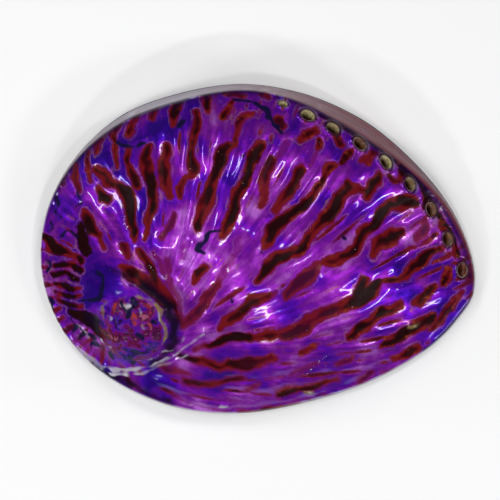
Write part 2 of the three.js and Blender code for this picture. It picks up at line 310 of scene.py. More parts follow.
# Dark streaks: the strength of each, then the points of its line with the streak's width there
STREAKS = [
    # Along the pore side, from the spire's end to the first pore
    (1, (-31.5, 50, 3), (-33.5, 46, 4), (-34.5, 42, 4), (-33.7, 37, 2.5)),
    (0.8, (-40.5, 43, 3), (-41, 39.5, 3)),
    (1, (-24.8, 51, 3), (-23.8, 47, 3.4), (-22.8, 43.5, 2.6)),
    (1, (-27.6, 43.5, 3), (-27.2, 40, 3.4), (-26.6, 34, 3.2), (-26.2, 29.5, 3), (-25.3, 25, 3.4),
        (-25, 21, 3)),
    (0.9, (-26.5, 20, 3), (-28, 17, 4), (-27.3, 13.8, 3)),
    (0.9, (-15.6, 48.8, 2.2), (-16.8, 45, 3.4), (-17.5, 42, 3.6)),
    (0.9, (-19, 50.8, 2), (-15.5, 51.2, 2.2), (-13, 50.8, 1.6)),
    (0.9, (-7, 51.2, 1.8), (-4.5, 50.4, 2)),
    (1, (-12.5, 33.3, 2.4), (-15, 32.5, 4), (-16.4, 30, 4.8), (-17.5, 23.5, 4.6), (-19, 14, 4.6),
        (-20.3, 5, 4)),
    (0.8, (-10.5, 43.5, 3), (-12, 40, 3), (-12.8, 35, 2.6)),
    (0.6, (-7.3, 45, 1.5), (-7.7, 43.7, 1.4)),
    (1, (-4.7, 34.5, 4.4), (-6, 31, 4.6), (-7, 26.5, 4), (-8, 22, 4), (-9.9, 17, 4.6), (-10.6, 11, 4),
        (-12, 6, 4), (-13, 3.5, 3)),
    (0.8, (-0.8, 30, 3), (-2, 26, 4), (-2.2, 22, 4), (-1.8, 18, 3.4), (-1.8, 14, 2.6)),
    (0.8, (0, 43.8, 3.6), (1, 42, 3.6)),
    (0.5, (3.5, 36, 2.2), (3, 33, 2.4), (1.5, 31.5, 2.4)),
    (0.9, (12.5, 41.8, 3), (9.5, 40, 3.6), (7, 36.8, 3)),
    (0.9, (10, 28.5, 3), (8.5, 26.8, 3.8), (6.8, 22.5, 3.6), (4.3, 18, 3.8), (3, 13.5, 3)),
    (1, (20.5, 31, 4), (18.6, 30.4, 5), (18.3, 26.5, 2.6), (16, 22.5, 3.4), (12.3, 18.5, 4), (9, 14.5, 4.4),
        (6, 11, 4.6), (3.5, 7.5, 4.6), (1.4, 4, 3.8), (0.4, 1.5, 2.4)),
    # Inwards of the pores
    (0.9, (13.5, 38, 3.2), (14, 35.5, 3)),
    (0.5, (13.3, 33.5, 1.6), (12.3, 31, 1.6)),
    (0.9, (20.5, 41, 3.4), (21, 38.5, 3)),
    (0.9, (23.8, 36, 3), (23.3, 33, 3.2)),
    (0.8, (32.5, 37, 3), (31, 35, 3), (28, 34.5, 1.8)),
    (1, (35, 31, 3), (34.3, 28, 4), (33, 24.5, 4), (31.5, 21.8, 2.6)),
    (0.8, (38.5, 31, 2.4), (41, 29.8, 3), (43, 30.3, 2.4)),
    (1, (32.5, 24.5, 2.6), (28.5, 24.6, 3.4), (25.8, 24.2, 4.6), (23.8, 21.5, 4.6), (21.5, 17.5, 4.6),
        (19, 12.5, 5), (16, 8, 4.4), (12.5, 3, 4.4), (8.5, 0.2, 4.4), (4.4, -1.4, 4.2), (2, -4.5, 4),
        (0, -9, 2.8)),
    (1, (48.5, 24.3, 3.6), (43.5, 22.3, 5), (39.5, 20.8, 5.4), (37.3, 17.5, 4.4), (36, 14, 4),
        (32.5, 10, 4.6), (29.5, 5, 4.6), (25.5, 1.2, 4.4), (20.5, -0.4, 3.2)),
    (1, (45.5, 12.8, 3.6), (42.5, 11.2, 6), (39, 8.5, 5.4), (37, 4.7, 2.6)),
    (0.7, (52.8, 18.5, 2.4), (53, 15, 4), (51, 12.4, 3)),
    (1, (59.2, 9, 3), (56.8, 7.6, 3.4), (53.8, 5.6, 6), (51.7, 3, 5), (49.2, -0.4, 3), (46.2, -2.6, 2.8),
        (42.2, -3.4, 3.4)),
    (0.9, (59.3, 18, 3), (60, 16, 2.4)),
    (1, (39.8, -3.6, 3), (37.4, -7.4, 6), (33.4, -11.3, 5), (28.5, -13.3, 3.6)),
    (0.78, (27.6, -13.7, 4), (23.5, -16.5, 5.4), (19, -19.5, 5), (15.5, -23.3, 5), (11, -25.7, 3.6)),
    (0.85, (9.6, -25.9, 3.4), (6, -26.2, 4.4), (3, -27.2, 3)),
    (1, (1, -27.8, 4.4), (-4.5, -28.6, 4.6), (-9.5, -31, 4.4), (-13, -32.8, 2.6)),
    (1, (34.9, -3.8, 3.8), (34, -6.4, 4.4), (33.2, -9.4, 4)),
    (0.75, (18.3, -1.5, 3), (16.5, -5, 4.6), (14, -8.7, 5), (10.5, -12, 3.6)),
    (0.6, (6.5, -11.5, 2), (5, -14, 2)),
    (1, (51.4, 26.6, 2.6), (52.2, 24.4, 3), (51.6, 22.6, 2)),
    (0.9, (42.6, 33.2, 2.2), (43.2, 31.4, 2)),
    (0.9, (64, 10.6, 2), (65.4, 8.6, 2)),
    # A dark line outside the pores
    (1.5, (12, 47.5, 1.2), (20, 45.4, 1.8), (29, 42, 2), (38, 38, 2.4), (46, 32.3, 2.6), (54, 25.5, 3),
        (61, 17.5, 2.6), (67, 9, 2)),
    # Towards the growing end and along the open lip
    (1, (49.2, -10.5, 4), (44.2, -13.3, 5), (40.7, -16.3, 4.6), (36.7, -19.8, 5), (32.7, -23, 3.4)),
    (0.9, (60.2, -3.5, 3), (57.7, -6, 3.6), (54.5, -9.7, 3.2)),
    (1, (64.8, 3, 3), (64, 0.3, 4.6), (63.2, -2, 3)),
    (1, (60.2, -13.5, 4.4), (57.2, -16.5, 5), (53.2, -18.8, 4.4), (49.2, -21.6, 5), (44.7, -25, 3)),
    (0.8, (70, -4, 2.6), (68, -7.5, 3.6), (65.5, -11.5, 3.6), (63, -15, 3), (60.5, -18, 2)),
    (0.9, (57.5, -24.8, 4), (53.5, -27.3, 4.4), (50, -29, 3)),
    (0.7, (35.5, -30, 2.4), (32, -32.5, 3)),
    (0.8, (22, -28, 3), (18.5, -30.5, 3)),
    (0.7, (43, -35.5, 3), (40.5, -38.5, 3)),
    (0.6, (24, -34.5, 2.4), (20.5, -36, 2.6), (16, -38.5, 1.8)),
    (0.9, (33, -38, 2.4), (28, -40, 3), (23, -42.5, 4), (17.5, -44, 3.6), (12.5, -46.5, 3)),
    (0.8, (21, -49.5, 2.4), (17, -50.5, 3), (11, -52.5, 3), (6, -54, 3), (1, -54, 2)),
    (0.7, (6, -44, 2.4), (2.5, -46, 2.8)),
    (0.8, (8.7, -33.3, 3.4), (4, -36.5, 4.6), (-2, -37.6, 5)),
    (0.95, (-2, -37.6, 5), (-8, -39, 4.4), (-15, -38, 3.4), (-21, -37.4, 2.2)),
    (0.8, (0, -41.5, 2.4), (-2.7, -43, 3), (-8, -45.3, 3.4), (-14, -47, 4), (-19.5, -46.5, 3)),
    (0.7, (-19, -43.4, 2.6), (-23, -43.4, 3.6), (-28, -42.5, 2.8)),
    (0.7, (-13.5, -32.3, 2.6), (-16, -34.2, 2.6)),
    (0.9, (4.5, -13, 3.4), (0.5, -15.4, 4.4), (-3, -18.5, 4), (-6.5, -22.5, 4), (-9.5, -25.6, 2.6)),
    # Fainter ones in the pale middle
    (0.4, (-7.4, 3.4, 2.4), (-7.6, -0.2, 2.8)),
    (0.5, (-8.5, -2, 1.8), (-10, -6, 2.4), (-11.5, -10, 3)),
    (0.75, (-12, -11.5, 2.6), (-13.4, -15, 3.8), (-15.5, -19, 4), (-18.5, -23, 3.6), (-21.5, -27, 3)),
    (0.9, (-16.5, -6, 3), (-18.3, -9.6, 4.2), (-19.5, -13, 2.8)),
    (0.4, (-24.6, -1.5, 2.2), (-24, -5.5, 2.2)),
    (0.7, (-29, 7.5, 2.6), (-29.5, 4, 3), (-31, 0, 2.4)),
    (0.6, (-29.5, -6.5, 2.6), (-28.5, -10, 2.4)),
    # Beside the spire, and round that end of the shell
    (0.9, (-34.9, 29.7, 3), (-35.2, 24, 4), (-33.4, 18.5, 4.2), (-31.5, 13, 3.4)),
    (1, (-41, 28, 2.8), (-40, 24, 3.8), (-38, 19, 4), (-36.5, 14.5, 3.6), (-35.6, 10.5, 3.6), (-37, 5, 3),
        (-37.2, -0.6, 2.4)),
    (0.9, (-46.5, 41, 3), (-48, 36, 3.4), (-48.3, 31.8, 2.6)),
    (0.9, (-52.5, 36.5, 3), (-54.2, 32, 3), (-52.4, 27, 3), (-50.6, 21.5, 2.2)),
    (0.9, (-47, 28, 2.6), (-46.7, 24.5, 3), (-45, 22, 3.4), (-43.5, 19, 4.8), (-42.3, 16.2, 4)),
    (1, (-48.5, 14.5, 3), (-45, 12.3, 6), (-43.8, 8, 4.6), (-42.8, 3, 3.6), (-41.3, -1.2, 2.8)),
    (1, (-57, 19.8, 3.6), (-53.4, 16.8, 4.4), (-49.6, 14.8, 3)),
    (1, (-56, 13.6, 3.6), (-53.4, 10.8, 4.6), (-50.4, 9.6, 3)),
    (0.8, (-61.5, 24.5, 2.4), (-60.6, 19.5, 2.6), (-59.4, 16, 2)),
    (0.8, (-57.5, 32, 2.4), (-58.8, 28, 2.8), (-58, 25, 2)),
    (0.8, (-66.4, 20.5, 2.4), (-65, 16, 3.4), (-63.5, 12.3, 2.4)),
    (0.7, (-69.5, 17, 2), (-69.6, 13.6, 2.4)),
    (1, (-59, 4.6, 3), (-56.4, 1.4, 4.4), (-54, -1.6, 3)),
    (0.9, (-52.5, -1.5, 2.4), (-51, -5.2, 3)),
    (0.8, (-44.5, -4, 2.6), (-42.2, -7.4, 3)),
    (1.6, (-60, 1, 3), (-58.6, -3, 4.4), (-57, -8.3, 3.4)),
    (1.25, (-72.6, -4.4, 3), (-68, -7.7, 4.6), (-63, -9.4, 3.6), (-58.5, -11.2, 3)),
    (1.25, (-66.8, -13, 2.2), (-62, -13.4, 2.8), (-58, -14, 2)),
    (1.25, (-68, -16, 1.8), (-63, -16.6, 2.4), (-59, -17, 1.8)),
    (1.25, (-67.4, -19.2, 1.8), (-62, -19.8, 2.4), (-58, -20, 1.8)),
    (1.25, (-67, -22.2, 1.8), (-62, -22.7, 2.6), (-57.5, -22.7, 1.8)),
    (1.25, (-65, -25.4, 2.2), (-61, -26.2, 2.8), (-56.5, -26, 2)),
    (1.6, (-59.5, -29, 3), (-54.5, -30.2, 6.4), (-51, -32, 6), (-48.6, -35, 3)),
    (1, (-44.5, -11, 2.2), (-41, -12, 3.6), (-36, -14, 4.4), (-31, -17.2, 3.6), (-27, -21.5, 2.6)),
    (0.9, (-39, -5, 2.4), (-35.5, -9.5, 3.6), (-31, -14, 3), (-27, -19, 2.2), (-23, -26, 1.6)),
    (0.6, (-33.5, -5.5, 1.6), (-29, -12, 2), (-24.5, -19, 2), (-21.5, -27, 1.4)),
]

# Thin markings: the width of each, then its line's points. The paint spreads past it, so 0 is a fine line.

# Navy dye that ran together
NAVY = [
    (1.2, (-13, 5.6), (-15.8, 4.8), (-17.9, 1.8), (-20, -1.4), (-18.4, -3)),
    (1, (-14.8, 48.4), (-12, 48.6), (-7.5, 48), (-4.4, 46), (-3, 43.6), (0, 41.2), (1.6, 39.2)),
    (1.1, (-51.5, 29.6), (-48, 29), (-45, 28.4), (-42.2, 30)),
    (1.1, (-52.3, -13.4), (-50.2, -15), (-50, -19.5), (-51.2, -22.6), (-56, -24)),
    (1.9, (-31.5, 38.6), (-31.9, 37.6)),
    (0.9, (-9.1, 31.6), (-9.7, 29.6)),
    (0.8, (-6.8, -15.9), (-7, -16.3)),
    (1, (-0.4, 0.6), (0, 0.2)),
    (1, (-40.6, -16.6), (-38.8, -16.9)),
    (0.7, (26.3, 9.4), (26.6, 8.6)),
    (1.6, (-40.2, -25.3), (-39.6, -26)),
    (1.5, (-35.2, -32.7), (-34.4, -33)),
    (1.2, (-31.2, -27.3), (-30.6, -27.5)),
    (1.5, (-36.8, -42), (-36, -42.2)),
    (1.1, (-38.2, -40), (-37.8, -40.2)),
    (0.8, (-39, -30.4), (-38.8, -30.7)),
    (0.9, (-38.4, -20.6), (-37.6, -22.6)),
    (1.2, (-66.5, -3.5), (-63.5, -1.6), (-61, -2.4)),
    (1, (-60, -30.5), (-57.5, -33.5), (-58.8, -36)),
    (0.6, (-56.4, -33.4), (-54.6, -35.6), (-56, -37.2)),
    (0.6, (-52.6, -35), (-51, -36.2), (-51.6, -38.8)),
    (0.7, (-42.6, -22.6), (-41, -24.4), (-38.4, -23.4)),
    (0.5, (-44.6, -25.6), (-43.2, -27.4)),
    (0.9, (-70.6, 8.6), (-68.6, 6.4), (-69.6, 3.6), (-67.4, 1.6)),
    (0.8, (-71.6, -0.6), (-70, -2.4), (-71.8, -3.4)),
    (0.9, (-70.4, -12.6), (-69.2, -15.4), (-70.6, -17.6)),
    (0.8, (-68.6, -24.6), (-66.6, -26.4), (-67, -28.6)),
    (0.9, (-62.4, 11.4), (-61, 8.4), (-62.6, 6.4)),
    (1.2, (-62, 28.4), (-60.6, 26.6)),
    (0.9, (-51.6, -37.6), (-49.4, -38.4), (-48.2, -40.2)),
    (1, (-44.6, -40.2), (-43.4, -41.4)),
]

# The pale seam where the coil meets the body, partly a painted sheen, and painted highlights: silver glints
# on and near the spire, along the margins and on the open lip
PALE_SEAM_AND_PAINTED_GLINTS = [
    (1.1, (-62, -37.4), (-57.5, -40.8), (-52.5, -43.6), (-47, -45.2), (-42, -45.6)),
    (0.3, (-42.4, -45.4), (-38, -45.2), (-34.6, -44), (-31.2, -42.5)),
    (0.3, (-31.2, -42.5), (-27, -40.4), (-24.2, -38.6), (-20.5, -34.8), (-17, -31.6), (-14, -29)),
    (0.3, (-40, -46.8), (-34, -45.4), (-29.5, -43.4), (-23, -39.8), (-18, -35.6)),
    (0.2, (-50, -45.6), (-44, -47.4), (-38, -47.6)),
    (0.2, (-33, -40.6), (-28, -38.4), (-23, -34.8), (-20, -31)),
    (0.5, (-42.7, -23.4), (-40.6, -22.8)),
    (0.4, (-39.7, -22.2), (-38.9, -23)),
    (0.3, (-41.4, -24.2), (-40.4, -24.6), (-39.8, -24)),
    (0.3, (-45.6, -27.4), (-44.4, -28.4), (-44.6, -29.6)),
    (0.5, (-36.5, -24), (-35.8, -25)),
    (0.5, (-57.5, -32.5), (-55.6, -33.6), (-55.5, -35.4)),
    (0.4, (-54.5, -34.5), (-52.8, -36.5)),
    (0.4, (-56.6, -36.8), (-54.8, -37.8)),
    (0.3, (-5.8, -53.6), (-4.6, -53)),
    (0.3, (-48.6, -36), (-47.2, -37.2), (-45, -38)),
    (0.5, (-16.6, -54.8), (-15.6, -54.2)),
    (0, (54, -17.2), (55, -16.6)),
    (0, (22.8, -44.8), (24, -44.2)),
    (0, (-30.2, -23.8), (-28.6, -26.6), (-27.4, -30)),
    (0, (-44.2, -24.8), (-43, -26.2)),
    (0, (-39.6, -35.2), (-38.2, -35.6)),
    (0, (-34.2, -28.6), (-33.4, -29.8)),
    (0, (-41.6, -30.4), (-41, -31.4)),
]

# The khaki growth edge round the spire, and khaki spots on the open lip
KHAKI = [
    (0.7, (-37.6, -19.9), (-34.4, -20), (-31.5, -21.4), (-29.5, -23.9), (-28.1, -27), (-27.1, -29.1),
        (-26.4, -31.4), (-26.9, -33.2), (-27.4, -34.4)),
    (0.5, (-47.4, -22.6), (-48.4, -24.6), (-48.3, -27.5), (-47.8, -29.4)),
    (1.2, (53.4, -17.6), (55.6, -16.2)),
    (0.8, (22.2, -45.2), (24.6, -44)),
]
# Painted shade: dark grooves round the spire and along the edges next to it and to the open lip
GROOVE_SHADE_LINES = [
    (1, (-47, -12), (-41, -14.5), (-36, -16.4)),
    (3, (-36, -16.4), (-31.5, -18.4), (-27.6, -21.6), (-25, -26), (-24.2, -31), (-25, -35.5)),
    (1.4, (-25, -35.5), (-27, -39), (-30, -41)),
    (3, (-53, -29.5), (-49.5, -31.5), (-47.5, -34)),
    (1.8, (-51, -45.8), (-46, -47.4), (-41, -48.8), (-36, -50.6)),
    (0.6, (-36, -50.6), (-30, -53), (-23, -54.6)),
    (-0.4, (74, -6), (70.5, -13), (66, -19.5), (60, -25.4)),
]
# Tiny bubbles in the lacquer
DUST = [
    (0.8, (-35, 2), (-34.6, -3), (-33.8, -8), (-33, -12.5)),
    (0.6, (-48, 12), (-44.5, 4), (-43.5, 0)),
    (0.6, (20, -40), (27, -30)),
    (0.8, (44, 7), (48, 12)),
]
# Rust on the spire, where the dye is thin
RUST = [
    (1, (-38.7, -25.3), (-37.5, -27), (-36, -29.6)),
    (0.9, (-35, -22), (-33.8, -23)),
    (0.7, (-45, -23.6), (-44.3, -26.4)),
    (0.6, (-33.3, -24.6), (-32.3, -27), (-31.6, -29)),
    (0.6, (-46.5, -31.5), (-45.6, -34)),
]

# Round patches where the nacre is lighter (positive) or deeper and bluer (negative): x, y, radius, amount. A
# few are painted light: the lighter one at (-21, 42) is a painted highlight, and some deeper ones, such as at
# (2, -13), are painted shade that dims lamp highlights.
TONES = [
    (-14, -12, 14, 0.3), (-25, 8, 8, 0.25), (-22, -3, 9, 0.25), (0, -3, 7, 0.25), (24, 12, 8, 0.25),
    (26, -20, 8, 0.35), (-2, 10, 6, 0.2), (2, -13, 4, -0.25), (-47, -8, 5, 0.25), (-21, 42, 4, 0.25),
    (36, -7, 5, -0.25), (47, -6, 4, -0.35), (-21, -40, 4, 0.35), (-37, -47, 4, 0.2), (12, -38, 10, 0.1),
    (-16, -53, 7, 0.25), (-4, 38, 5, 0.2), (-53, -17, 7, -0.42), (-46, -18, 5, -0.3), (-38, 35, 6, -0.4),
    (-50, 5, 5, 0.1), (-30, 48, 8, -0.3), (3, 46, 6, -0.35), (-8, -43, 6, -0.3), (2, -33, 6, -0.25),
    (46, 2, 5, -0.25), (52, -7, 4, -0.35), (30, -32, 4, -0.2), (66, -14, 9, -0.35), (48, -34, 6, -0.15),
    (-37, -36, 6, -0.3), (-66, 2, 6, -0.3), (-42, -52, 8, -0.5), (38, -12, 5, -0.2), (18, 20, 3, -0.3),
    (36, 20, 16, -0.1), (-64, 20, 9, -0.35), (-60, 8, 6, -0.25), (-50, 15, 5, -0.3), (-56, 28, 8, -0.2),
    (10, 22, 5, -0.15), (-12, 22, 4, -0.2), (-28, -45, 5, -0.2), (-30, -50, 6, -0.25),
]

CELL = 0.5
GRID_X = np.arange(-78, 78.1, CELL)
GRID_Y = np.arange(-60, 60.1, CELL)
PLAN_X, PLAN_Y = np.meshgrid(GRID_X, GRID_Y, indexing="ij")

# Waves that roughen the markings and vary the tone, as heights and radii
STREAK_WAVES = ((0.5, 2.2), (0.2, 0.9))
LINE_WAVES = ((0.4, 1.2),)
LINE_ROUGHNESS = ((0.2, 0.8),)
TONE_WAVES = ((0.12, 4), (0.08, 1.5))
# Small streaks that fill in between the large ones
FILLER_STRENGTH = 0.75
FILLER_GAP = 1.6
FILLER_SWING = 1.5
LARGE_ROOM = 1.2
BLUE_ROOM = 3
MARGIN_CROWD = 0.9
MARGIN = (0.55, 0.9)  # shares of the way to the rim
# Half the width of a band of noise, in gaps between bands, and how far it is followed, in its lengths
BAND_WIDTH = 0.62
BAND_REACH = 1.6


def blurred(field, radius):
    """The field smoothed over a radius in millimetres, by a bell-shaped weight along each axis in turn."""
    steps = int(3 * radius / CELL) + 1
    weights = np.exp(-0.5 * (np.arange(-steps, steps + 1) * CELL / radius) ** 2)
    weights /= weights.sum()
    for axis in (0, 1):
        pad = [(0, 0), (0, 0)]
        pad[axis] = (steps, steps)
        wide = np.pad(field, pad, mode="edge")
        size = field.shape[axis]
        field = sum(w * np.take(wide, np.arange(i, i + size), axis) for i, w in enumerate(weights))
    return field


def soft_noise(radius, seed):
    """Smooth random hills about as wide as the radius, with a spread of 1."""
    hills = blurred(np.random.default_rng(seed).standard_normal(PLAN_X.shape), radius)
    return hills / hills.std()


def waves(sizes, seed):
    """Soft noise of several sizes together, from seeds that count up."""
    return sum(height * soft_noise(radius, seed + i) for i, (height, radius) in enumerate(sizes))


def growth_direction(x, y):
    _, direction = around_spire(x, y)
    return direction + np.radians(in_direction(GROWTH_TURN, direction))


def growth_places(x, y):
    """Texture places round a drum: across the growth lines they go round it, along them slowly up it."""
    distance, direction = around_spire(x, y)
    rings = np.log(np.maximum(distance, SPIRE_CORE))
    turned = direction - np.tan(np.radians(in_direction(GROWTH_TURN, direction))) * rings
    return np.stack([np.cos(turned), np.sin(turned), GROWTH_STRETCH * rings], 1)


def oriented_noise(count, length, gap, seed):
    """Random bands that run with the growth lines, a gap apart, over the plan."""
    draw = np.random.default_rng(seed)
    field = np.zeros_like(PLAN_X)
    power = np.zeros_like(PLAN_X)
    xs = draw.uniform(GRID_X[0], GRID_X[-1], count)
    ys = draw.uniform(GRID_Y[0], GRID_Y[-1], count)
    phases = draw.uniform(0, TURN, count)
    reach = length * gap * BAND_REACH
    for x, y, phase, heading in zip(xs, ys, phases, growth_direction(xs, ys)):
        i0, i1 = np.searchsorted(GRID_X, (x - reach, x + reach))
        j0, j1 = np.searchsorted(GRID_Y, (y - reach, y + reach))
        dx = PLAN_X[i0:i1, j0:j1] - x
        dy = PLAN_Y[i0:i1, j0:j1] - y
        along = dx * math.cos(heading) + dy * math.sin(heading)
        across = dy * math.cos(heading) - dx * math.sin(heading)
        window = bell(along, length * gap) * bell(across, BAND_WIDTH * gap)
        field[i0:i1, j0:j1] += window * np.cos(TURN * across / gap + phase)
        power[i0:i1, j0:j1] += window**2
    return field / np.sqrt(power + 1e-6)


def line_distance(x, y, line):
    """Distance from points to a line of (x, y, width) points, less half the width there."""
    nearest = np.full(x.shape, FAR)
    for (x0, y0, w0), (x1, y1, w1) in zip(line, line[1:]):
        dx, dy = x1 - x0, y1 - y0
        t = np.clip(((x - x0) * dx + (y - y0) * dy) / (dx * dx + dy * dy), 0, 1)
        nearest = np.minimum(nearest, np.hypot(x - x0 - t * dx, y - y0 - t * dy) - mix(w0, w1, t) / 2)
    return nearest


def sample_plan(field, x, y):
    """The value of a plan field at points, between its cells."""
    u = np.clip((x - GRID_X[0]) / CELL, 0, len(GRID_X) - 1.001)
    v = np.clip((y - GRID_Y[0]) / CELL, 0, len(GRID_Y) - 1.001)
    i, j = u.astype(int), v.astype(int)
    s, t = u - i, v - j
    low = mix(field[i, j], field[i + 1, j], s)
    high = mix(field[i, j + 1], field[i + 1, j + 1], s)
    return mix(low, high, t)


def tone_field():
    tone = waves(TONE_WAVES, 17)
    for x, y, radius, amount in TONES:
        tone = tone + amount * bell(np.hypot(PLAN_X - x, PLAN_Y - y), radius)
    return tone


def streak_fields(tone):
    """Distance out from the nearest streak's edge, and that streak's strength."""
    x = PLAN_X + waves(STREAK_WAVES, 11)
    y = PLAN_Y + waves(STREAK_WAVES, 13)
    nearest = np.full(PLAN_X.shape, FAR)
    strength = np.zeros(PLAN_X.shape)
    for amount, *line in STREAKS:
        distance = line_distance(x, y, line)
        closer = distance < nearest
        nearest[closer] = distance[closer]
        strength[closer] = amount
    filler = filler_distance(nearest, tone)
    closer = filler < nearest
    nearest[closer] = filler[closer]
    strength[closer] = FILLER_STRENGTH
    return nearest, blurred(strength, 0.6)


def filler_distance(nearest, tone):
    """Distance out from small streaks, which crowd at the margin and keep off large ones and deep blue."""
    growth = oriented_noise(9000, 1.6, 4, 8) - 0.5 * soft_noise(5, 9)
    _, share = polar(PLAN_X, PLAN_Y)
    room = LARGE_ROOM * smoothstep(nearest, 2, 0.5) + BLUE_ROOM * smoothstep(-tone, 0.15, 0.4)
    return FILLER_GAP - FILLER_SWING * growth + room - MARGIN_CROWD * smoothstep(share, *MARGIN)


def line_fields(groups):
    """For each group of thin markings, the distance out from the nearest one."""
    x = PLAN_X + waves(LINE_WAVES, 15)
    y = PLAN_Y + waves(LINE_WAVES, 16)
    roughness = waves(LINE_ROUGHNESS, 19)
    fields = {}
    for name, markings in groups.items():
        lines = [[(*point, width) for point in smooth_curve(line, False, 5)] for width, *line in markings]
        fields[name] = np.minimum.reduce([line_distance(x, y, line) for line in lines]) + roughness
    return fields


def make_fields():
    tone = tone_field()
    streak, strength = streak_fields(tone)
    lines = {"navy": NAVY, "pale": PALE_SEAM_AND_PAINTED_GLINTS, "khaki": KHAKI, "rust": RUST, "groove_shade": GROOVE_SHADE_LINES, "dust": DUST}
    return {"tone": tone, "streak": streak, "strength": strength, **line_fields(lines)}


FIELDS = make_fields()
CRESTS = CREST_RISE * blurred(np.clip(FIELDS["streak"], *CREST_LIMITS), 0.6)
FIBRES = FIBRE_RISE * oriented_noise(12000, 3, 3, 5)
RIPPLES = RIPPLE_RISE * oriented_noise(6000, 2.5, 5.5, 6)
LUMPS = LUMP_RISE * soft_noise(0.9, 22)


def surface_relief(x, y):
    """Streaks lie in shallow valleys, crests stand between them, and the spire is lumpy."""
    _, share = polar(x, y)
    distance, _ = around_spire(x, y)
    spire = 1 - smoothstep(distance, SPIRE_RADIUS - 1, SPIRE_RADIUS + 3)
    relief = RELIEF_BASE + sample_plan(CRESTS + RIPPLES + FIBRES, x, y) * (1 - spire)
    relief += sample_plan(LUMPS, x, y) * spire
    for name, rise, width in RIDGES:
        relief += rise * np.exp(-np.maximum(sample_plan(FIELDS[name], x, y), 0) / width)
    return relief * (1 - smoothstep(share, RELIEF_END, 1))


# ---- The shell's mesh


def ring_shares(rings):
    """Shares of the way to the rim for a number of rings, a little closer together towards it."""
    even = np.arange(rings + 1) / rings
    return mix(even, np.sin(even * math.pi / 2), 0.5)


def ring_points(shares):
    """The crown, and the rings of points round it."""
    turn = np.arange(RAYS) * TURN / RAYS
    reach = np.concatenate([[0]] + [reach_at(turn, share) for share in shares[1:]])
    angle = np.append(0, np.tile(turn, len(shares) - 1))
    return CROWN[0] + reach * np.cos(angle), CROWN[1] + reach * np.sin(angle)


def make_pores():
    """Each pore as its middle, its two half axes in plan, and the plan shift from outside to inside."""
    line = smooth_curve(PORE_LINE, False, 60)
    nudge = 0.3
    pores = []
    for i in range(PORE_COUNT):
        seat = line[round(i / (PORE_COUNT - 1) * (len(line) - 1))]
        slope_x, slope_y = (
            (outer_height(*(seat + step)) - outer_height(*(seat - step))) / (2 * nudge)
            for step in np.array([(nudge, 0), (0, nudge)])
        )
        normal = np.array([-slope_x, -slope_y, 1]) / math.sqrt(slope_x**2 + slope_y**2 + 1)
        along = np.array([-normal[1], normal[0]]) / math.hypot(normal[0], normal[1])
        across = np.array([along[1], -along[0]])
        size = FIRST_PORE_SIZE if i == 0 else 1
        pores.append((
            seat, along * size * PORE_LENGTH / 2, across * size * normal[2] * PORE_WIDTH / 2,
            -normal[:2] / normal[2] * WALL,
        ))
    return pores


PORES = make_pores()


def pore_reach(pore, x, y, shift=0):
    """Distance from a pore's middle, in half axes: 1 on its edge. A shift of 1 takes it to the inside."""
    seat, along, across, inwards = pore
    middle = seat + shift * inwards
    dx, dy = x - middle[0], y - middle[1]
    u = (dx * along[0] + dy * along[1]) / (along @ along)
    v = (dx * across[0] + dy * across[1]) / (across @ across)
    return np.hypot(u, v)


def pore_distance(x, y):
    """Distance from the nearest pore's middle, in its half axes."""
    return np.minimum.reduce([pore_reach(pore, x, y) for pore in PORES])


def pore_loop(pore, scale, shift):
    seat, along, across, inwards = pore
    turn = np.arange(PORE_SIDES) * TURN / PORE_SIDES
    return seat + shift * inwards + scale * (np.cos(turn)[:, None] * along + np.sin(turn)[:, None] * across)


def sheet(shares, shift):
    """Plan points and triangles of one sheet: rings round the crown, pierced by the pores.
    Returns the points, the triangles, the rim's point numbers, and those of each pore's loop."""
    x, y = ring_points(shares)
    keep = np.ones(len(x), bool)
    for pore in PORES:
        keep &= pore_reach(pore, x, y, shift) > COLLARS[-1] + COLLAR_GAP
    keep[-RAYS:] = True
    points = [np.stack([x, y], 1)[keep]]
    count = keep.sum()
    rim = np.arange(count - RAYS, count)
    loops = []
    for pore in PORES:
        loops.append(count + np.arange(PORE_SIDES))
        for scale in COLLARS:
            points.append(pore_loop(pore, scale, shift))
            count += PORE_SIDES
    points = np.vstack(points)
    made = delaunay_2d_cdt([Vector(p) for p in points], [], [], 0, 1e-6, False)
    if len(made[0]) != len(points):
        raise RuntimeError("two plan points fell together")
    triangles = np.array(made[2])
    hole = np.full(len(points), -1)
    for number, loop in enumerate(loops):
        hole[loop] = number
    corners = hole[triangles]
    inside = (corners[:, 0] >= 0) & (corners == corners[:, :1]).all(1)
    return points, triangles[~inside], rim, loops


def bands(near, far):
    """Two triangles for each step between two closed loops of the same length."""
    next_near, next_far = np.roll(near, -1), np.roll(far, -1)
    return np.concatenate([np.stack([near, far, next_far], 1), np.stack([near, next_far, next_near], 1)])


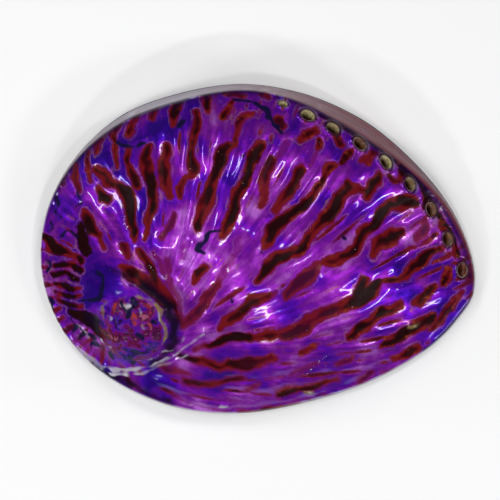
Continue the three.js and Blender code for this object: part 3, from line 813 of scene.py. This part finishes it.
def build_shell():
    """The points, the triangles, each one's material, the first inner point, and how brown the points are."""
    outer_plan, outer_triangles, outer_rim, outer_loops = sheet(ring_shares(OUTER_RINGS), 0)
    inner_plan, inner_triangles, inner_rim, inner_loops = sheet(ring_shares(INNER_RINGS), 1)
    x, y = outer_plan.T
    collar = pore_distance(x, y)
    z = outer_height(x, y) + surface_relief(x, y) * smoothstep(collar, *PORE_CLEARING)
    z += PORE_EDGE_RISE * bell(collar - PORE_EDGE, PORE_EDGE_SPREAD)
    z[outer_rim] = 0
    outer = np.stack([x, y, z], 1)
    x, y = inner_plan.T
    z = inner_height(x, y)
    z[inner_rim] = 0
    inner = np.stack([*narrowed(x, y), z], 1)
    start = len(outer)
    rim = bands(inner_rim + start, outer_rim)[:, ::-1]
    triangles = [outer_triangles, inner_triangles[:, ::-1] + start, rim]
    kinds = [np.full(len(outer_triangles), 0), np.full(len(inner_triangles), 1), np.full(len(rim), 3)]
    brown = np.zeros(start + len(inner))
    for amount, outside, inside in zip(PORE_BROWNING, outer_loops, inner_loops):
        triangles.append(bands(outside, inside + start))
        kinds.append(np.full(2 * PORE_SIDES, 2))
        brown[outside] = amount
        brown[inside + start] = amount
    return np.vstack([outer, inner]), np.vstack(triangles), np.concatenate(kinds), start, brown


def fitted(points):
    """Fits the drawn millimetres to the box of the frame's shell."""
    low, high = points.min(0), points.max(0)
    return LOW + (points - low) / (high - low) * (HIGH - LOW)


def point_values(x, y):
    """The values that the materials read at each point, by name."""
    direction = crown_direction(x, y)
    pore_side = smoothstep(np.abs(direction - PORE_SIDE), *np.radians(PORE_SIDE_END))
    above = above_wall_color(x, y)
    wall = pore_side * smoothstep(above, *WALL_END)
    return {
        **{name: sample_plan(field, x, y) for name, field in FIELDS.items()},
        "pore": np.minimum(pore_distance(x, y), 9),
        "spire": around_spire(x, y)[0],
        "edge": edge_distance(x, y),
        "wall": wall,
        "brow_shade": pore_side * smoothstep(above, *BROW_SHADE),
        "faded": FADED_SHARE * wall * bell(direction - FADED_SIDE, FADED_SPREAD),
        "pale_reflection": bell(direction - PALE_REFLECTION_SIDE, PALE_REFLECTION_SPREAD),
        "crisp": smoothstep(y, *SOFT_DYE),
    }


def add_to_scene(name, data):
    thing = bpy.data.objects.new(name, data)
    bpy.context.scene.collection.objects.link(thing)
    return thing


def make_shell():
    points, triangles, kinds, start, brown = build_shell()
    mesh = bpy.data.meshes.new("dyed_abalone")
    mesh.from_pydata(fitted(points).tolist(), [], triangles.tolist())
    mesh.validate()
    mesh.polygons.foreach_set("material_index", kinds.astype(np.int32))
    mesh.shade_smooth()
    x, y, _ = points.T
    deep = np.arange(len(points)) >= start
    for name, values in {**point_values(x, y), "deep": deep, "brown": brown}.items():
        attribute = mesh.attributes.new(name, "FLOAT", "POINT")
        attribute.data.foreach_set("value", np.asarray(values, np.float32))
    growth = mesh.attributes.new("growth", "FLOAT_VECTOR", "POINT")
    growth.data.foreach_set("vector", growth_places(x, y).astype(np.float32).ravel())
    return add_to_scene("dyed_abalone", mesh)


# ---- Materials

# Colours are linear red, green and blue. A ramp has a colour at each of several places from 0 to 1.
NACRE_RAMP = (
    (0.1, (0.03, 0.001, 0.24)), (0.35, (0.1, 0.003, 0.38)), (0.52, (0.18, 0.007, 0.32)),
    (0.68, (0.25, 0.022, 0.38)), (0.9, (0.4, 0.11, 0.55)),
)
STREAK_RAMP = (
    (0, (0.135, 0.005, 0.009)), (0.3, (0.085, 0.002, 0.005)), (0.6, (0.035, 0.001, 0.003)),
    (1, (0.012, 0.001, 0.002)),
)
STREAK_RUST = (0.24, 0.03, 0.008)
STREAK_EDGE_RAMP = ((0.42, (0.38, 0.1, 0.36)), (0.55, (0.4, 0.13, 0.08)))
KNOB_RAMP = (
    (0.37, (0.003, 0.001, 0.02)), (0.43, (0.04, 0.002, 0.26)), (0.49, (0.12, 0.005, 0.18)),
    (0.54, (0.12, 0.002, 0.012)), (0.59, (0.012, 0.001, 0.006)), (0.65, (0.28, 0.06, 0.1)),
)
# Painted shade in the grooves
GROOVE_SHADE_COLOR = (0.006, 0.001, 0.01)
RUST_COLOR = (0.34, 0.03, 0.006)
KHAKI_COLOR = (0.2, 0.13, 0.05)
# Painted highlights, and the seam's pale band, partly a painted sheen
PALE_SEAM_AND_GLINT_COLOR = (0.46, 0.43, 0.52)
NAVY_COLOR = (0.006, 0.003, 0.035)
# Painted shade along the wall's top
BROW_SHADE_COLOR = (0.012, 0.001, 0.03)
# Painted shade round the pores, and the pale ring on their edges, partly a painted highlight
PORE_SHADE = (0.025, 0.002, 0.008)
PORE_RING = (0.3, 0.24, 0.2)
DUST_COLOR = (0.8, 0.7, 0.75)
# Mauve-brown wall, partly a painted warm reflection, and grey, a painted pale reflection
WALL_RAMP = ((0.35, (0.08, 0.008, 0.02)), (0.5, (0.15, 0.022, 0.04)), (0.65, (0.24, 0.05, 0.06)))
PALE_REFLECTION_RAMP = ((0.3, (0.26, 0.22, 0.29)), (0.5, (0.37, 0.33, 0.4)), (0.7, (0.48, 0.45, 0.51)))
# A dark line along the foot of the rim: dark dye specks, and partly painted contact shade
BRINK_COLOR = (0.015, 0.003, 0.025)
INNER_RAMP = (
    (0.3, (0.45, 0.2, 0.75)), (0.45, (0.7, 0.5, 0.85)), (0.55, (0.55, 0.65, 0.8)), (0.7, (0.8, 0.6, 0.75)),
)
PORE_KHAKI = ((0.3, (0.16, 0.1, 0.03)), (0.5, (0.3, 0.27, 0.12)), (0.7, (0.45, 0.44, 0.24)))
PORE_BROWN = ((0.35, (0.03, 0.004, 0.001)), (0.55, (0.1, 0.016, 0.003)), (0.7, (0.2, 0.05, 0.008)))
# Painted shade deep in the pores
PORE_DEPTH_SHADE = ((0.4, (0.02, 0.007, 0.004)), (0.6, (0.08, 0.02, 0.008)))
RIM_RAMP = ((0.35, (0.03, 0.006, 0.02)), (0.6, (0.2, 0.05, 0.3)))

# Where each paint begins to show and where it is full: in millimetres, and at the pores in half axes
LINE_BAND = (0.45, -0.2)
GROOVE_SHADE_BAND = (2.2, -1)
DUST_BAND = (1, -0.6)
KNOB_BAND = (12, 10)
WORN_BAND = (18, 11)
BRINK_BAND = (0.75, 0.3)
HALO_BAND = (1.7, 1.3)
RING_BAND = (1.2, 1.08)


class Nodes:
    """Short ways to add and join the nodes of one material."""

    def __init__(self, name):
        self.material = bpy.data.materials.new(name)
        self.material.use_nodes = True
        self.tree = self.material.node_tree
        self.shader = self.tree.nodes["Principled BSDF"]

    def feed(self, socket, value):
        if isinstance(value, bpy.types.NodeSocket):
            self.tree.links.new(value, socket)
        elif socket.type == "RGBA":
            socket.default_value = (*value, 1)
        else:
            socket.default_value = value

    def add(self, kind, inputs, output=0, **settings):
        """Adds a node, feeds its inputs, and gives one of its outputs."""
        node = self.tree.nodes.new("ShaderNode" + kind)
        for key, value in settings.items():
            setattr(node, key, value)
        for key, value in inputs.items():
            self.feed(node.inputs[key], value)
        return node.outputs[output]

    def value(self, name, output="Fac"):
        return self.add("Attribute", {}, output, attribute_name=name)

    def place(self):
        return self.add("TexCoord", {}, "Object")

    def noise(self, scale, detail=3, roughness=0.55, distortion=0, vector=None):
        inputs = {"Scale": scale, "Detail": detail, "Roughness": roughness, "Distortion": distortion}
        inputs["Vector"] = vector or self.place()
        return self.add("TexNoise", inputs)

    def math(self, operation, *values):
        return self.add("Math", dict(enumerate(values)), operation=operation)

    plus = partialmethod(math, "ADD")
    minus = partialmethod(math, "SUBTRACT")
    times = partialmethod(math, "MULTIPLY")
    scaled = partialmethod(math, "MULTIPLY_ADD")

    def most(self, first, *others):
        for other in others:
            first = self.math("MAXIMUM", first, other)
        return first

    def between(self, value, low, high):
        """0 below low, 1 above high, smooth between."""
        inputs = {"Value": value, "From Min": low, "From Max": high}
        return self.add("MapRange", inputs, interpolation_type="SMOOTHSTEP")

    def ramp(self, value, stops):
        color = self.add("ValToRGB", {"Fac": value})
        ramp = color.node.color_ramp
        while len(ramp.elements) < len(stops):
            ramp.elements.new(0.5)
        for element, (position, paint) in zip(ramp.elements, stops):
            element.position = position
            element.color = (*paint, 1)
        return color

    def mix(self, share, a, b):
        return self.add("Mix", {"Factor": share, 6: a, 7: b}, 2, data_type="RGBA")

    def set(self, **sockets):
        for name, value in sockets.items():
            self.feed(self.shader.inputs[name.replace("_", " ")], value)


def nacre_color(n, streak, silk):
    """Purple nacre in lighter and bluer patches, silky along the growth lines, and deeper far off the
    streaks, which is partly painted shade on the crests.
    """
    tone = n.plus(n.scaled(n.noise(200, detail=5, roughness=0.6), 0.8, -0.4), n.value("tone"))
    tone = n.plus(tone, n.scaled(silk, 0.58, 0.19))
    # Deeper far off the streaks: partly painted shade on the crests
    tone = n.minus(tone, n.times(n.between(streak, 1.2, 4), 0.1))
    return n.ramp(tone, NACRE_RAMP)


def streak_color(n, streak, strength):
    """Streaks, red at the edge and nearly black in blotches further in, with rust along some edges."""
    blotch = n.scaled(n.noise(150, detail=4, roughness=0.55), 6, -3.2)
    depth = n.plus(n.minus(blotch, streak), n.scaled(n.most(strength, 1), 2.4, -2.4))
    core = n.times(n.between(depth, 0.2, 1.8), n.times(strength, strength))
    rust = n.times(n.between(n.noise(450, detail=4), 0.5, 0.7), n.between(n.noise(25), 0.45, 0.6))
    rust = n.times(rust, n.between(n.math("ABSOLUTE", n.minus(streak, -0.5)), 1, 0.2))
    return n.mix(n.times(rust, 0.8), n.ramp(core, STREAK_RAMP), STREAK_RUST)


def add_streaks(n, color, streak, inside, strength, crisp):
    """The streaks, and the pale line that runs along some of their edges."""
    color = n.mix(inside, color, streak_color(n, streak, strength))
    edge = n.times(n.times(n.between(n.math("ABSOLUTE", n.minus(streak, 0.3)), 0.35, 0.05), strength), crisp)
    edge = n.times(edge, n.between(n.noise(120), 0.38, 0.66))
    return n.mix(n.times(edge, 0.6), color, n.ramp(n.noise(60), STREAK_EDGE_RAMP))


def add_spire(n, color, groove_shade):
    """Painted shade in the dark grooves, and the spire's mottled knob."""
    color = n.mix(n.times(groove_shade, 0.97), color, GROOVE_SHADE_COLOR)
    knob = n.between(n.value("spire"), *KNOB_BAND)
    mottle = n.ramp(n.noise(190, detail=3, roughness=0.6, distortion=0.4), KNOB_RAMP)
    return n.mix(n.times(knob, 0.9), color, mottle)


def line_share(n, distance):
    """How much of a thin marking shows at a distance from its edge."""
    return n.between(distance, *LINE_BAND)


def add_lines(n, color, fray, navy):
    """The thin markings. Rust and khaki are broken up, and the pale lines, which are the seam's partly
    painted sheen and the painted glints, are silky.
    """
    broken = n.between(n.noise(420, detail=4), 0.3, 0.6)
    for name, paint in (("rust", RUST_COLOR), ("khaki", KHAKI_COLOR)):
        share = line_share(n, n.plus(n.value(name), fray))
        color = n.mix(n.times(share, broken), color, paint)
    # Painted highlights and the seam's partly painted sheen
    silky = n.between(n.noise(90, detail=2), 0.3, 0.6)
    color = n.mix(n.times(line_share(n, n.value("pale")), silky), color, PALE_SEAM_AND_GLINT_COLOR)
    return n.mix(navy, color, NAVY_COLOR)


def add_pore_rings(n, color, ragged):
    """Painted shade as a dark halo round each pore, and a broken pale ring along its edge, partly a painted
    highlight on the lit rim.
    """
    pore = n.plus(n.value("pore"), n.times(ragged, 0.15))
    color = n.mix(n.times(n.between(pore, *HALO_BAND), 0.85), color, PORE_SHADE)
    ring = n.times(n.between(pore, *RING_BAND), n.between(n.noise(130), 0.42, 0.6))
    return n.mix(n.times(ring, 0.6), color, PORE_RING)


def add_dust(n, color):
    """Tiny bubbles in the lacquer, closer together along the dust lines."""
    level = n.scaled(n.between(n.value("dust"), *DUST_BAND), -0.17, 0.8)
    speck = n.between(n.minus(n.noise(1500, detail=1), level), 0, 0.05)
    return n.mix(speck, color, DUST_COLOR)


def add_wall(n, color, wall):
    """The steep wall at the pores, lined along the edge: mauve-brown, partly a painted warm reflection, and
    grey where a pale reflection is painted.
    """
    along = n.add("VectorMath", {0: n.place(), "Scale": 25}, operation="SCALE")
    up = n.add("CombineXYZ", {"Z": n.times(n.value("edge"), 1.6)})
    places = n.add("VectorMath", {0: along, 1: up}, operation="ADD")
    lines = n.noise(1, detail=4, vector=places)
    # Grey painted reflection on part of the wall
    paint = n.mix(n.value("pale_reflection"), n.ramp(lines, WALL_RAMP), n.ramp(lines, PALE_REFLECTION_RAMP))
    return n.mix(n.times(wall, 0.9), color, paint)


def nacre_material():
    n = Nodes("dyed nacre")
    ragged = n.scaled(n.noise(600, detail=5, roughness=0.65), 1.6, -0.8)
    fray = n.times(ragged, 0.35)
    silk = n.noise(40, detail=5, roughness=0.65, vector=n.value("growth", "Vector"))
    streak = n.plus(n.value("streak"), ragged)
    strength = n.value("strength")
    crisp = n.value("crisp")
    softened = n.times(streak, n.scaled(crisp, 0.6, 0.4))

    # How much each marking shows, from 0 to 1
    inside = n.times(n.between(softened, 0.45, -0.5), n.between(strength, 0.1, 0.85))
    # Painted shade in the grooves round the spire and along the edges
    groove_shade = n.between(n.plus(n.value("groove_shade"), n.times(ragged, 0.8)), *GROOVE_SHADE_BAND)
    worn = n.between(n.value("spire"), *WORN_BAND)
    navy = line_share(n, n.plus(n.value("navy"), fray))
    # Painted shade along the wall's top, broken up by noise
    brow_shade = n.times(n.value("brow_shade"), n.between(n.noise(260, detail=4), 0.3, 0.44))
    # Dark line at the rim's foot: dye specks, and partly painted contact shade
    brink = n.times(n.between(n.value("edge"), *BRINK_BAND), n.between(n.noise(120), 0.3, 0.42))
    wall = n.value("wall")

    color = add_streaks(n, nacre_color(n, streak, silk), streak, inside, strength, crisp)
    color = add_spire(n, color, groove_shade)
    color = add_lines(n, color, fray, navy)
    color = n.mix(n.times(brow_shade, 0.9), color, BROW_SHADE_COLOR)
    color = add_pore_rings(n, color, ragged)
    color = add_dust(n, color)
    color = add_wall(n, color, wall)
    color = n.mix(n.times(brink, 0.9), color, BRINK_COLOR)

    matte = n.most(inside, navy, wall, groove_shade, brow_shade, worn)
    hollows = n.times(n.most(brow_shade, groove_shade), 0.9)
    dulled = n.most(n.value("faded"), n.scaled(inside, 0.84, 0.16), brink, hollows, n.times(worn, 0.85))
    fine = n.plus(silk, n.times(n.noise(900), 0.5))
    n.set(
        Base_Color=color,
        Metallic=n.scaled(matte, -0.6, 0.6),
        Roughness=n.scaled(n.noise(300), 0.14, 0.24),
        Specular_IOR_Level=0.04,
        Coat_Weight=n.minus(1, dulled),
        Coat_Roughness=0.03,
        Coat_IOR=1.33,
        Normal=n.add("Bump", {"Height": fine, "Distance": 0.0003, "Strength": 0.4}),
    )
    return n.material


def inner_material():
    n = Nodes("inner nacre")
    color = n.ramp(n.noise(30, detail=3, distortion=1.5), INNER_RAMP)
    n.set(Base_Color=color, Metallic=0.5, Roughness=n.scaled(n.noise(200), 0.2, 0.15), Coat_Weight=0.6)
    return n.material


def pore_material():
    """Khaki or brown, with painted shade that darkens it towards the inside."""
    n = Nodes("pore wall")
    color = n.mix(n.value("brown"), n.ramp(n.noise(700), PORE_KHAKI), n.ramp(n.noise(600), PORE_BROWN))
    # Painted shade, darker towards the inner sheet
    sunk = n.plus(n.value("deep"), n.scaled(n.noise(300), 0.8, -0.4))
    color = n.mix(n.between(sunk, 0.1, 0.75), color, n.ramp(n.noise(500), PORE_DEPTH_SHADE))
    n.set(Base_Color=color, Roughness=0.35, Specular_IOR_Level=0.2, Coat_Weight=0.2)
    return n.material


def rim_material():
    n = Nodes("ground rim")
    n.set(Base_Color=n.ramp(n.noise(300, detail=5), RIM_RAMP), Roughness=0.3, Coat_Weight=0.8)
    return n.material


# ---- Stage, in metres

FLOOR_SIZE = 4
FLOOR_GAP = 0.0002
FLOOR_COLOR = (0.86, 0.86, 0.86)
CAMERA_PLACE = (-0.0033, 0.0003, 0.43)
CAMERA_TURN = math.radians(8)
LENS = 90
SKY_COLOR = (0.9, 0.92, 1, 1)
SKY_STRENGTH = 0.05
# Oval lamps round the shell: direction anticlockwise from +X, angle from straight up, width, height, watts
LAMPS = [
    (130, 20, 0.04, 0.2, 0.9), (255, 24, 0.2, 0.04, 1.2), (350, 30, 0.2, 0.04, 0.9),
    (70, 42, 0.04, 0.25, 0.9), (125, 50, 0.04, 0.25, 1), (185, 40, 0.04, 0.25, 1.1),
    (230, 55, 0.25, 0.04, 1.2), (290, 50, 0.25, 0.04, 1.3), (335, 60, 0.25, 0.04, 1.1),
    (25, 64, 0.04, 0.25, 0.9), (165, 66, 0.04, 0.25, 0.75),
]
LAMP_DISTANCE = 0.85
LAMP_TARGET = (0, 0, 0.02)


def make_floor():
    bpy.ops.mesh.primitive_plane_add(size=FLOOR_SIZE, location=(0, 0, LOW[2] - FLOOR_GAP))
    floor = bpy.context.object
    floor.name = "floor"
    n = Nodes("pale floor")
    n.set(Base_Color=FLOOR_COLOR, Roughness=0.7)
    floor.data.materials.append(n.material)


def make_camera():
    camera = add_to_scene("camera", bpy.data.cameras.new("camera"))
    camera.data.lens = LENS
    camera.location = CAMERA_PLACE
    camera.rotation_euler = (0, 0, CAMERA_TURN)
    bpy.context.scene.camera = camera


def make_lamps():
    for number, (direction, lean, width, height, power) in enumerate(LAMPS):
        light = bpy.data.lights.new(f"lamp{number + 1}", "AREA")
        light.shape = "ELLIPSE"
        light.size = width
        light.size_y = height
        light.energy = power
        turn, tilt = math.radians(direction), math.radians(lean)
        way = Vector((math.sin(tilt) * math.cos(turn), math.sin(tilt) * math.sin(turn), math.cos(tilt)))
        lamp = add_to_scene(light.name, light)
        lamp.location = LAMP_DISTANCE * way
        lamp.rotation_euler = (lamp.location - Vector(LAMP_TARGET)).to_track_quat("Z", "Y").to_euler()


def make_sky():
    world = bpy.data.worlds.new("studio")
    bpy.context.scene.world = world
    world.use_nodes = True
    background = world.node_tree.nodes["Background"]
    background.inputs["Color"].default_value = SKY_COLOR
    background.inputs["Strength"].default_value = SKY_STRENGTH


shell = make_shell()
for material in (nacre_material(), inner_material(), pore_material(), rim_material()):
    shell.data.materials.append(material)
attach(shell, "root")
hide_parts("abalone_shell")
make_floor()
make_camera()
make_sky()
make_lamps()
bpy.context.scene.view_settings.view_transform = "Standard"
